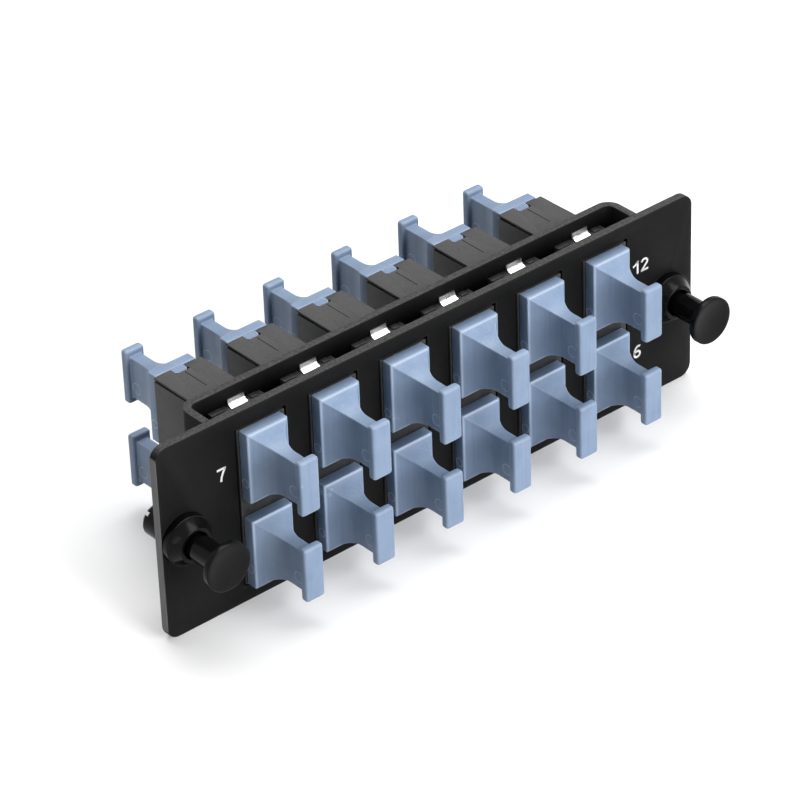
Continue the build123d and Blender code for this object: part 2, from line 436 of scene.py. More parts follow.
@dataclass(frozen=True)
class CapPlastic:
    """Slate blue cap plastic: soft, faintly mottled and a little translucent."""

    colour: tuple = (0.142, 0.202, 0.300)
    light: tuple = (0.176, 0.240, 0.346)
    streak: tuple = (0.245, 0.310, 0.425)
    streak_scale: float = 2600.0
    streak_stretch: tuple = (1.0, 1.0, 0.03)
    streak_share: float = 0.3
    # Light edge colour: a painted highlight along the rounded edges, and also the colour of the
    # scuff flecks.
    edge: tuple = (0.50, 0.58, 0.70)
    edge_reach: float = 0.16 * MM
    edge_tilt: float = 0.06
    edge_share: float = 0.8
    fleck_scale: float = 170.0
    fleck_rare: float = 0.67
    fleck_share: float = 0.38
    # Painted shade: darker blue laid where other surfaces crowd, between caps and near the plate.
    shade: tuple = (0.045, 0.070, 0.110)
    shade_reach: float = 5.0 * MM
    shade_share: float = 0.55
    sheen: float = 0.3
    depth_share: float = 0.06
    depth_reach: float = 0.4 * MM
    roughness: tuple = (0.36, 0.46)
    grain_scale: float = 3000.0
    grain_depth: float = 0.006 * MM
    wave_scale: float = 300.0
    wave_stretch: tuple = (1.0, 1.0, 0.15)
    wave_depth: float = 0.015 * MM

    def material(self) -> bpy.types.Material:
        """Build the plastic's material.

        Returns:
            The finished material.
        """
        shader = Shader("cap_plastic")
        shader.set(Specular_IOR_Level=self.sheen)
        shader.set(Subsurface_Weight=self.depth_share, Subsurface_Scale=self.depth_reach)
        clouds = shader.noise(260.0, 3.0)
        moulded = shader.ramp(clouds, self.colour, self.light, *shader.NOISE_RANGE)
        streaks = shader.span(shader.noise(self.streak_scale, 3.0, self.streak_stretch), 0.0, 1.0)
        moulded = shader.tinted(moulded, self.streak, streaks, self.streak_share)
        flecks = shader.flecks(self.fleck_scale, self.fleck_rare)
        moulded = shader.tinted(moulded, self.edge, flecks, self.fleck_share)
        # Painted shade where surfaces crowd, between caps and near the plate.
        painted_shade = shader.crevice_shade_mask(self.shade_reach)
        moulded = shader.tinted(moulded, self.shade, painted_shade, self.shade_share)
        # Painted highlight along the edges.
        edges = shader.edges(self.edge_reach, self.edge_tilt)
        shader.paint(shader.tinted(moulded, self.edge, edges, self.edge_share))
        shader.gloss(900.0, *self.roughness)
        shader.bump(shader.noise(self.grain_scale), self.grain_depth)
        shader.bump(shader.noise(self.wave_scale, 1.0, self.wave_stretch), self.wave_depth)
        return shader.material


@dataclass(frozen=True)
class SpringSteel:
    """Bright rolled spring steel with fine lines along the strip."""

    colour: tuple = (0.93, 0.93, 0.92)
    shade: tuple = (0.86, 0.86, 0.86)
    line_scale: float = 5000.0
    line_stretch: tuple = (0.05, 1.0, 0.05)
    roughness: tuple = (0.26, 0.34)

    def material(self) -> bpy.types.Material:
        """Build the steel's material.

        Returns:
            The finished material.
        """
        shader = Shader("spring_steel")
        shader.set(Metallic=1.0)
        lines = shader.noise(self.line_scale, 2.0, self.line_stretch)
        shader.paint(shader.ramp(lines, self.shade, self.colour, *shader.NOISE_RANGE))
        shader.gloss(900.0, *self.roughness)
        return shader.material


@dataclass(frozen=True)
class LatchNylon:
    """Black nylon with a semi-gloss skin and faint flow marks."""

    colour: tuple = (0.0026, 0.0026, 0.0027)
    light: tuple = (0.0042, 0.0042, 0.0043)
    sheen: float = 0.09
    roughness: tuple = (0.18, 0.25)
    flow_scale: float = 350.0
    skin_scale: float = 1800.0
    skin_depth: float = 0.005 * MM

    def material(self) -> bpy.types.Material:
        """Build the nylon's material.

        Returns:
            The finished material.
        """
        shader = Shader("latch_nylon")
        shader.set(Specular_IOR_Level=self.sheen)
        flow = shader.noise(self.flow_scale, 2.0)
        shader.paint(shader.ramp(flow, self.colour, self.light, *shader.NOISE_RANGE))
        shader.gloss(800.0, *self.roughness)
        shader.bump(shader.noise(self.skin_scale), self.skin_depth)
        return shader.material


@dataclass(frozen=True)
class PrintInk:
    """White screen-print ink, thin enough to take a little of the coat's peel."""

    colour: tuple = (0.66, 0.66, 0.66)
    thin: tuple = (0.50, 0.50, 0.50)
    thin_range: tuple = (0.3, 0.6)
    roughness: float = 0.55
    peel_scale: float = 2600.0
    peel_depth: float = 0.006 * MM

    def material(self) -> bpy.types.Material:
        """Build the ink's material.

        Returns:
            The finished material.
        """
        shader = Shader("print_ink")
        shader.set(Roughness=self.roughness)
        shader.paint(shader.ramp(shader.noise(2400.0), self.thin, self.colour, *self.thin_range))
        shader.bump(shader.noise(self.peel_scale), self.peel_depth)
        return shader.material


@dataclass(frozen=True)
class SeamShade:
    """Painted shadow: the near black of a moulding's parting line, in place of the shade in its
    groove.
    """

    colour: tuple = (0.0022, 0.0022, 0.0022)
    light: tuple = (0.0060, 0.0060, 0.0060)
    light_range: tuple = (0.4, 0.75)
    sheen: float = 0.02
    roughness: float = 0.9

    def material(self) -> bpy.types.Material:
        """Build the seam's material.

        Returns:
            The finished material.
        """
        shader = Shader("seam_shade")
        shader.set(Specular_IOR_Level=self.sheen, Roughness=self.roughness)
        shader.paint(shader.ramp(shader.noise(1800.0), self.colour, self.light, *self.light_range))
        return shader.material


def shade_by_angle(mesh: bpy.types.Mesh, limit: float = SMOOTH_LIMIT) -> None:
    """Shade a mesh smooth, with its sharper edges kept sharp.

    Args:
        mesh: Mesh that is shaded.
        limit: Angle between two faces from which their edge stays sharp.
    """
    work = bmesh.new()
    work.from_mesh(mesh)
    for face in work.faces:
        face.smooth = True
    for edge in work.edges:
        edge.smooth = len(edge.link_faces) == 2 and edge.calc_face_angle(0.0) < limit
    work.to_mesh(mesh)
    work.free()


def add_piece(
    name: str, mesh: bpy.types.Mesh, finish: bpy.types.Material, body: str, slot: str, *nodes: str
) -> None:
    """Put a mesh in the scene as a piece of the panel, and report it.

    Args:
        name: Name of the piece.
        mesh: Its mesh, in the panel's frame.
        finish: Its material.
        body: Body that it rides on.
        slot: Name of a material slot; not used.
        nodes: Solids that it stands for.
    """
    piece = bpy.data.objects.new(name, mesh)
    bpy.context.scene.collection.objects.link(piece)
    mesh.materials.clear()
    mesh.materials.append(finish)
    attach(piece, body)
    if nodes:
        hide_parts(*nodes)
    log.info("%s rides on %s", name, body)


def rounded_copy(
    node: str, width: float, steps: int = 2, shortest: float = 0.9 * MM
) -> bpy.types.Mesh:
    """Copy a solid's mesh and round its longer edges.

    Args:
        node: Solid that is copied.
        width: Width of the rounding.
        steps: Segments of the rounding.
        shortest: Length up to which an edge stays sharp.

    Returns:
        The rounded mesh.
    """
    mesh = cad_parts[node].data.copy()
    work = bmesh.new()
    work.from_mesh(mesh)
    bmesh.ops.remove_doubles(work, verts=work.verts, dist=WELD)
    bmesh.ops.dissolve_limit(work, angle_limit=FLAT_LIMIT, verts=work.verts, edges=work.edges)
    sharp = [
        edge
        for edge in work.edges
        if len(edge.link_faces) == 2
        and edge.calc_face_angle(0.0) > SHARP_LIMIT
        and edge.calc_length() > shortest
    ]
    bmesh.ops.bevel(
        work, geom=sharp, offset=width, segments=steps, profile=0.5, affect="EDGES",
        clamp_overlap=False,
    )
    work.to_mesh(mesh)
    work.free()
    shade_by_angle(mesh)
    return mesh


def quarter(steps: int = 4, first: int = 0) -> list[float]:
    """Angles that divide a quarter turn into steps, from the first step on."""
    return [step / steps * math.pi / 2 for step in range(first, steps + 1)]


def rounded_ring(y: float, half_x: float, half_z: float, radius: float) -> list[Vector]:
    """Points of a rounded rectangle that stands across Y.

    Args:
        y: Its place along Y.
        half_x: Half its size along X.
        half_z: Half its size along Z.
        radius: Radius of its corners.

    Returns:
        Five points for each of the four corners.
    """
    radius = min(radius, half_x, half_z)
    points = []
    for corner in range(4):
        sign_x = 1 if corner in (0, 3) else -1
        sign_z = 1 if corner in (0, 1) else -1
        centre = Vector((sign_x * (half_x - radius), y, sign_z * (half_z - radius)))
        for angle in quarter():
            turn = corner * math.pi / 2 + angle
            points.append(centre + radius * Vector((math.cos(turn), 0.0, math.sin(turn))))
    return points


def bridge(work: bmesh.types.BMesh, lower: list, upper: list) -> None:
    """Join two closed rows of vertices with faces.

    Args:
        work: Mesh that gets the faces.
        lower: One row.
        upper: The other row, of the same length.
    """
    for i in range(len(lower)):
        j = (i + 1) % len(lower)
        work.faces.new((lower[i], lower[j], upper[j], upper[i]))


def skin(work: bmesh.types.BMesh, rings: list[list[Vector]]) -> None:
    """Join rings into a closed solid with flat ends.

    Args:
        work: Mesh that gets the solid.
        rings: Rings of points, all of equal length.
    """
    rows = [[work.verts.new(point) for point in ring] for ring in rings]
    for lower, upper in zip(rows, rows[1:]):
        bridge(work, lower, upper)
    work.faces.new(list(reversed(rows[0])))
    work.faces.new(rows[-1])


def finished_mesh(
    name: str, work: bmesh.types.BMesh, limit: float = SMOOTH_LIMIT
) -> bpy.types.Mesh:
    """Make a mesh with its faces turned outwards, and free the bmesh.

    Args:
        name: Name of the mesh.
        work: The bmesh.
        limit: Angle from which an edge stays sharp.

    Returns:
        The shaded mesh.
    """
    bmesh.ops.recalc_face_normals(work, faces=work.faces)
    mesh = bpy.data.meshes.new(name)
    work.to_mesh(mesh)
    work.free()
    shade_by_angle(mesh, limit)
    return mesh


@dataclass
class DustCap:
    """The cap moulding: base, curved neck, grip bar, plug and key tongue.

    The base stands on Y 0 and the grip points to -Y. The solid's box gives the outer
    sizes, and the fields the rest.
    """

    base_depth: float = 2.05 * MM
    edge: float = 0.18 * MM
    seat_gap: float = 0.05 * MM
    seat_edge: float = 0.12 * MM
    neck_half: float = 1.1 * MM
    neck_end_half: float = 3.7 * MM
    neck_curve: float = 6.5 * MM
    neck_steps: int = 26
    grip_thickness: float = 1.5 * MM
    grip_half: tuple = (1.8 * MM, 4.8 * MM)
    grip_edge: float = 0.42 * MM
    root_fillet: float = 0.28 * MM
    plug_half: tuple = (3.52 * MM, 5.42 * MM)
    plug_corner: float = 0.3 * MM
    plug_lip: float = 0.15 * MM
    plug_length: float = 4.6 * MM
    hollow_half: tuple = (2.62 * MM, 4.52 * MM)
    hollow_corner: float = 0.2 * MM
    hollow_floor: float = 1.0 * MM
    tongue_half: float = 1.22 * MM
    tongue_reach: float = 1.42 * MM
    tongue_nose: float = 1.0 * MM
    tongue_low: float = 4.9 * MM
    tongue_top: float = 6.0 * MM
    tongue_shift: float = -0.35 * MM
    mark_radius: float = 0.95 * MM
    mark_z: float = -1.6 * MM
    base_mark_radius: float = 0.72 * MM
    base_mark_z: float = -2.9 * MM
    mark_wire: float = 0.016 * MM
    mark_steps: int = 28
    half_x: float = field(init=False)
    half_z: float = field(init=False)
    grip_back: float = field(init=False)

    def __post_init__(self) -> None:
        """Take the outer sizes from the solid."""
        low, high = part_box("front_cap_1")
        housing_low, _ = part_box("adapter_1")
        self.half_x = (high.x - low.x) / 2
        self.half_z = (high.z - low.z) / 2
        self.grip_back = housing_low.y - low.y - self.grip_thickness

    def neck(self, y: float, root: float, waist: float) -> float:
        """Half size of the neck at a distance in front of the seat.

        Args:
            y: Distance in front of the base's seat.
            root: Half size where the neck leaves the base.
            waist: Half size where the curve has ended.

        Returns:
            The half size along one axis.
        """
        rise = root - waist
        turn = self.base_depth + math.sqrt(self.neck_curve**2 - (self.neck_curve - rise) ** 2)
        if y >= turn:
            return waist
        return waist + self.neck_curve - math.sqrt(self.neck_curve**2 - (turn - y) ** 2)

    def turned_edge(
        self, y: float, step_y: float, half: tuple, radius: float, corner: float
    ) -> list[list[Vector]]:
        """Rings that round a block's rim from its face towards its sides.

        Args:
            y: Place of the face.
            step_y: 1 if the block lies towards +Y of the face, or -1.
            half: Half sizes of the block along X and Z.
            radius: Radius of the rim.
            corner: Radius of the block's corners.

        Returns:
            Rings from the face to the full size.
        """
        rings = []
        for angle in quarter():
            inset = radius * (1 - math.sin(angle))
            place = y + step_y * radius * (1 - math.cos(angle))
            rings.append(rounded_ring(place, half[0] - inset, half[1] - inset, corner))
        return rings

    def plug_rings(self) -> list[list[Vector]]:
        """Rings from the bottom of the plug's hollow, over its mouth, to the seat.

        Returns:
            Five rings of points.
        """
        mouth = self.plug_length - self.plug_lip
        mouth_half = [half - self.plug_lip for half in self.plug_half]
        return [
            rounded_ring(self.hollow_floor, *self.hollow_half, self.hollow_corner),
            rounded_ring(self.plug_length, *self.hollow_half, self.hollow_corner),
            rounded_ring(self.plug_length, *mouth_half, self.plug_corner),
            rounded_ring(mouth, *self.plug_half, self.plug_corner),
            rounded_ring(-self.seat_gap, *self.plug_half, self.plug_corner),
        ]

    def neck_rings(self) -> list[list[Vector]]:
        """Rings of the neck, from the base to the fillet under the grip.

        Returns:
            The rings, from the base on.
        """
        rings = []
        length = self.grip_back - self.root_fillet - self.base_depth
        for step in range(1, self.neck_steps + 1):
            y = self.base_depth + step / self.neck_steps * length
            half_x = self.neck(y, self.half_x - self.edge, self.neck_half)
            half_z = self.neck(y, self.half_z - self.edge, self.neck_end_half)
            rings.append(rounded_ring(-y, half_x, half_z, self.edge))
        for angle in quarter(first=1):
            y = self.grip_back - self.root_fillet * (1 - math.sin(angle))
            grow = self.root_fillet * (1 - math.cos(angle))
            half_x, half_z = self.neck_half + grow, self.neck_end_half + grow
            rings.append(rounded_ring(-y, half_x, half_z, self.edge))
        return rings

    def body_rings(self) -> list[list[Vector]]:
        """Rings from the bottom of the plug's hollow, over the base, to the grip's face.

        Returns:
            All rings of the moulding's main body.
        """
        base = (self.half_x, self.half_z)
        grip = (self.grip_half, self.grip_edge, self.grip_edge)
        face = -self.grip_back - self.grip_thickness
        rings = self.plug_rings()
        rings += self.turned_edge(-self.seat_gap, -1, base, self.seat_edge, self.edge)
        rings += reversed(self.turned_edge(-self.base_depth, 1, base, self.edge, self.edge))
        rings += self.neck_rings()
        rings += self.turned_edge(-self.grip_back, -1, *grip)
        rings += reversed(self.turned_edge(face, 1, *grip))
        return rings

    def add_tongue(self, work: bmesh.types.BMesh) -> None:
        """Add the key tongue, a slab with a rounded nose above the plug.

        Args:
            work: Mesh that gets the tongue.
        """
        root = -self.base_depth / 2
        side = self.tongue_half - self.tongue_nose
        outline = [(self.tongue_half, root)]
        for step in range(9):
            angle = step / 8 * math.pi
            shift = side if step < 4 else -side if step > 4 else 0.0
            drop = self.tongue_nose * (1 - math.sin(angle))
            outline.append((shift + self.tongue_nose * math.cos(angle), self.tongue_reach - drop))
        outline.append((-self.tongue_half, root))
        heights = (self.tongue_low, self.tongue_top)
        skin(work, [[Vector((x + self.tongue_shift, y, z)) for x, y in outline] for z in heights])

    def add_mark(
        self, work: bmesh.types.BMesh, side: int, y: float, z: float, half_x: float, radius: float
    ) -> None:
        """Add an ejector pin's witness, a fine raised circle on a flat side.

        Args:
            work: Mesh that gets the circle.
            side: 1 for the right side or -1 for the left one.
            y: Place of its centre along Y.
            z: Height of its centre.
            half_x: How far the side stands from X 0.
            radius: Radius of the circle.
        """
        rows = []
        for i in range(self.mark_steps):
            turn = 2 * math.pi * i / self.mark_steps
            row = []
            for corner in range(4):
                bend = math.pi / 2 * corner
                reach = radius + self.mark_wire * math.cos(bend)
                rise = half_x + self.mark_wire * math.sin(bend)
                point = (side * rise, y + reach * math.cos(turn), z + reach * math.sin(turn))
                row.append(work.verts.new(point))
            rows.append(row)
        for lower, upper in zip(rows, rows[1:] + rows[:1]):
            bridge(work, lower, upper)

    def mesh(self) -> bpy.types.Mesh:
        """Build the moulding's mesh, in its own frame.

        Returns:
            The mesh.
        """
        work = bmesh.new()
        skin(work, self.body_rings())
        self.add_tongue(work)
        neck_y = -self.grip_back + self.root_fillet + self.mark_radius
        base_y = -self.base_depth / 2
        for side in (-1, 1):
            self.add_mark(work, side, neck_y, self.mark_z, self.neck_half, self.mark_radius)
            self.add_mark(work, side, base_y, self.base_mark_z, self.half_x, self.base_mark_radius)
        return finished_mesh("dust_cap", work)


@dataclass
class DustCaps:
    """The 24 caps, one in each end of every port."""

    finish: bpy.types.Material
    moulding: DustCap = field(default_factory=DustCap)

    def build(self) -> None:
        """Put a cap on every cap solid's place."""
        pattern = self.moulding.mesh()
        housing_low, housing_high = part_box("adapter_1")
        for end in End:
            seat = housing_low.y if end is End.FRONT else housing_high.y
            for port in range(1, PORT_COUNT + 1):
                node = f"{end.word}_cap_{port}"
                low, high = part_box(node)
                mesh = pattern.copy()
                mesh.transform(Matrix.Rotation(end.value, 4, "Z"))
                place = Vector(((low.x + high.x) / 2, seat, (low.z + high.z) / 2))
                mesh.transform(Matrix.Translation(place))
                add_piece(f"cap_{end.word}_{port}", mesh, self.finish, node, "cap_plastic", node)


@dataclass
class SheetMetal:
    """The faceplate and the folded bracket behind it."""

    finish: bpy.types.Material
    edge: float = 0.14 * MM

    def build(self) -> None:
        """Dress both sheets as copies with softened edges."""
        for node in ("faceplate", "rear_bracket"):
            mesh = rounded_copy(node, self.edge, 3, 0.0)
            add_piece(f"{node}_coated", mesh, self.finish, ROOT_BODY, "panel_steel", node)


def bow(centre: tuple, radii: tuple, start: float, end: float, steps: int = 14) -> list[tuple]:
    """Points along an arc of an ellipse.

    Args:
        centre: Centre of the ellipse.
        radii: Its two half sizes.
        start: Angle of the first point, in degrees.
        end: Angle of the last point, in degrees.
        steps: Number of chords.

    Returns:
        The points as pairs.
    """
    points = []
    for step in range(steps + 1):
        angle = math.radians(start + (end - start) * step / steps)
        u = centre[0] + radii[0] * math.cos(angle)
        points.append((u, centre[1] + radii[1] * math.sin(angle)))
    return points


@dataclass
class PortNumbers:
    """The four printed numbers at the ends of the two port rows, drawn in plain strokes."""

    finish: bpy.types.Material
    height: float = 2.4 * MM
    stroke: float = 0.38 * MM
    ink: float = 0.012 * MM
    left_x: float = -42.95 * MM
    right_x: float = 42.83 * MM
    second_digit: float = 1.62 * MM
    upper_left_z: float = 23.9 * MM
    upper_right_z: float = 24.3 * MM
    lower_z: float = 8.2 * MM

    def strokes(self, digit: str) -> list[list[tuple]]:
        """Centre lines of a digit that is one unit high and stands on 0.

        Args:
            digit: The digit.

        Returns:
            One list of points for each stroke.
        """
        foot, head = 0.08, 0.92
        if digit == "1":
            return [[(0.04, 0.0), (0.04, 1.0)], [(0.06, 0.94), (-0.14, 0.76), (-0.38, 0.65)]]
        if digit == "2":
            top = bow((0.0, 0.69), (0.26, head - 0.69), 170, -28)
            return [top + [(-0.27, foot)], [(-0.33, foot), (0.33, foot)]]
        if digit == "6":
            bowl = bow((0.0, 0.31), (0.26, 0.31 - foot), 0, 360, 24)
            return [bowl, bow((0.1, 0.36), (0.36, 0.56), 180, 62)]
        slant = [(0.31, head), (0.12, 0.62), (-0.01, 0.32), (-0.06, 0.0)]
        return [[(-0.35, head), (0.35, head)], slant]

    def ribbon(self, work: bmesh.types.BMesh, points: list[Vector]) -> None:
        """Lay a flat strip of ink in the plate's plane.

        Args:
            work: Mesh that gets the strip.
            points: Its centre line.
        """
        rings = []
        for i, point in enumerate(points):
            ahead = (points[min(i + 1, len(points) - 1)] - point).normalized()
            behind = (point - points[max(i - 1, 0)]).normalized()
            along = (ahead + behind).normalized()
            side = Vector((-along.z, 0.0, along.x)) * self.stroke / 2
            side /= max(along.dot(ahead if i == 0 else behind), 0.5)
            lift = Vector((0.0, -self.ink, 0.0))
            rings.append([point - side, point + side, point + side + lift, point - side + lift])
        skin(work, rings)

    def number(self, text: str, x: float, z: float) -> None:
        """Print a number on the plate.

        Args:
            text: The number.
            x: Middle of its first digit.
            z: Height that it stands on.
        """
        work = bmesh.new()
        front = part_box("faceplate")[0].y
        for place, digit in enumerate(text):
            for stroke in self.strokes(digit):
                points = [Vector((u * self.height, front, v * self.height)) for u, v in stroke]
                offset = Vector((x + place * self.second_digit, 0.0, z))
                self.ribbon(work, [point + offset for point in points])
        mesh = finished_mesh(f"number_{text}", work)
        add_piece(f"number_{text}_print", mesh, self.finish, ROOT_BODY, "panel_steel")

    def build(self) -> None:
        """Print the first and last number of each row."""
        self.number("7", self.left_x, self.upper_left_z)
        self.number("1", self.left_x, self.lower_z)
        self.number("12", self.right_x, self.upper_right_z)
        self.number("6", self.right_x, self.lower_z)


@dataclass
class Adapters:
    """The six housings, with clips, painted shadow strips on parting lines and port inserts."""

    housing: bpy.types.Material
    seam: bpy.types.Material
    insert: bpy.types.Material
    steel: bpy.types.Material
    housing_edge: float = 0.10 * MM
    clip_smooth: float = math.radians(12)
    insert_edge: float = 0.07 * MM
    wing_width: float = 3.2 * MM
    wing_slope: float = math.radians(17.6)
    wing_start: float = 0.053 * MM
    wing_rise: float = 0.35 * MM
    lip_radius: float = 0.9 * MM
    lip_sheet: float = 0.2 * MM
    lip_gap: float = 0.01 * MM
    lip_end: float = 0.2 * MM
    lip_steps: int = 10
    seam_width: float = 0.12 * MM
    seam_depth: float = 0.01 * MM
    seam_y: tuple = (2.9 * MM, 8.2 * MM)
    lid_line: float = 0.35 * MM
    lid_y: float = 6.3 * MM

    def bar(self, work: bmesh.types.BMesh, across: tuple, along: tuple, upright: tuple) -> None:
        """Add a block.

        Args:
            work: Mesh that gets the block.
            across: Its two ends along X.
            along: Its two ends along Y.
            upright: Its two ends along Z.
        """
        (left, right), (near, far) = across, along
        corners = ((left, near), (right, near), (right, far), (left, far))
        skin(work, [[Vector((x, y, z)) for x, y in corners] for z in upright])

    def lip(self, work: bmesh.types.BMesh, node: str, end: int) -> None:
        """Add the upturned lip with which a clip's wing rests on the bracket.

        Args:
            work: Mesh that gets the lip.
            node: The clip's solid.
            end: 1 for the top wing or -1 for the bottom wing.
        """
        low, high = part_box(node)
        flat = high.z - self.wing_rise if end > 0 else low.z + self.wing_rise
        middle_y = high.y - self.lip_gap - self.lip_sheet - self.lip_radius
        middle_z = self.wing_start + self.lip_radius * math.cos(self.wing_slope)
        inner, outer = [], []
        faces = ((inner, self.lip_radius), (outer, self.lip_radius + self.lip_sheet))
        for step in range(self.lip_steps + 1):
            angle = self.wing_slope + (math.pi / 2 - self.wing_slope) * step / self.lip_steps
            for side, radius in faces:
                y = middle_y + radius * math.sin(angle)
                side.append((y, middle_z - radius * math.cos(angle)))
        for side in (inner, outer):
            side.append((side[-1][0], middle_z + self.lip_end))
        left, right = low.x, low.x + self.wing_width
        rings = []
        for (near_y, near_z), (far_y, far_z) in zip(inner, outer):
            ring = [(left, near_y, near_z), (right, near_y, near_z)]
            ring += [(right, far_y, far_z), (left, far_y, far_z)]
            rings.append([Vector((x, y, flat + end * z)) for x, y, z in ring])
        skin(work, rings)

    def clip(self, column: int) -> None:
        """Dress one spring clip: its solid as it is, with a lip on each wing.

        Args:
            column: Number of the housing that it holds.
        """
        node = f"adapter_clip_{column}"
        work = bmesh.new()
        work.from_mesh(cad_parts[node].data)
        bmesh.ops.remove_doubles(work, verts=work.verts, dist=WELD)
        bmesh.ops.dissolve_limit(work, angle_limit=FLAT_LIMIT, verts=work.verts, edges=work.edges)
        for end in (-1, 1):
            self.lip(work, node, end)
        mesh = finished_mesh(f"clip_{column}", work, self.clip_smooth)
        add_piece(f"clip_{column}", mesh, self.steel, ROOT_BODY, "clip_steel", node)

    def seam_shadows(self, column: int) -> None:
        """Paint the shadow in the lid's parting lines on a housing's top and left side.

        Args:
            column: Number of the housing.
        """
        low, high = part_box(f"adapter_{column}")
        _, clip_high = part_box(f"adapter_clip_{column}")
        top = clip_high.z - self.wing_rise
        middle = (low.x + high.x) / 2
        left = 2 * middle - clip_high.x
        half = self.seam_width / 2
        line = self.lid_line
        # Near black strips: painted shadow in the grooves of the parting lines.
        work = bmesh.new()
        across, upright = (middle - half, middle + half), (top - half, top + self.seam_depth)
        self.bar(work, across, self.seam_y, upright)
        across, upright = (left + line / 2, left + line), (top - 2 * line, top - line)
        self.bar(work, across, (self.lid_y, high.y - line), upright)
        mesh = finished_mesh(f"seam_{column}", work)
        add_piece(f"seam_{column}", mesh, self.seam, ROOT_BODY, "adapter_plastic")

    def build(self) -> None:
        """Dress each housing, its clip, its painted shadow strips and its two inserts."""
        for column in range(1, COLUMN_COUNT + 1):
            node = f"adapter_{column}"
            mesh = rounded_copy(node, self.housing_edge)
            add_piece(f"housing_{column}", mesh, self.housing, ROOT_BODY, "adapter_plastic", node)
            self.clip(column)
            self.seam_shadows(column)
        for port in range(1, PORT_COUNT + 1):
            node = f"port_insert_{port}"
            mesh = rounded_copy(node, self.insert_edge, 1)
            add_piece(f"insert_{port}", mesh, self.insert, ROOT_BODY, "insert_plastic", node)


